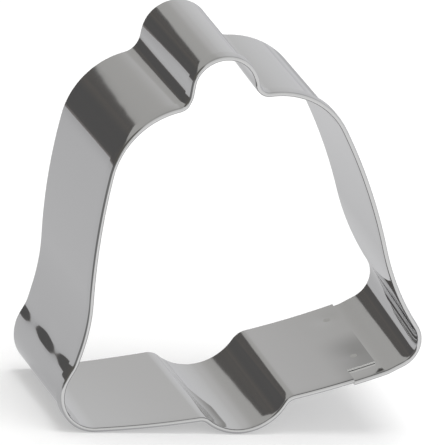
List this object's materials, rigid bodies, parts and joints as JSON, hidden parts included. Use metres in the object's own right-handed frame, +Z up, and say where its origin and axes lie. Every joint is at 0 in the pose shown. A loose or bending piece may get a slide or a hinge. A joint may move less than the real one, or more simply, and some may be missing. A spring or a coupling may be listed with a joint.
{
  "type": "cookie cutter",
  "caption": "Bell-shaped cookie cutter bent from a thin strip of stainless sheet, with a folded rim to press on, a thin cutting edge and a spot-welded lap.",
  "frame": {"origin": "centre of the bounding box on the surface that the cutter stands on", "axes": "+Z up; the cutter stands on edge as pictured, leaning 12 degrees to the left onto its clapper and its left lip; +Y runs along its depth from the folded rim, which faces the viewer, to the cutting edge; +X to the viewer's right"},
  "size_m": [0.0564, 0.025, 0.0601],
  "materials": {
    "polished_stainless": "bright rolled and polished stainless sheet, with fine drawn lines",
    "weld_steel": "pressed stainless, a little duller where the electrodes sank it"
  },
  "bodies": {
    "root": {"steel_strip": "polished_stainless", "spot_weld_front": "weld_steel", "spot_weld_back": "weld_steel"}
  },
  "joints": []
}
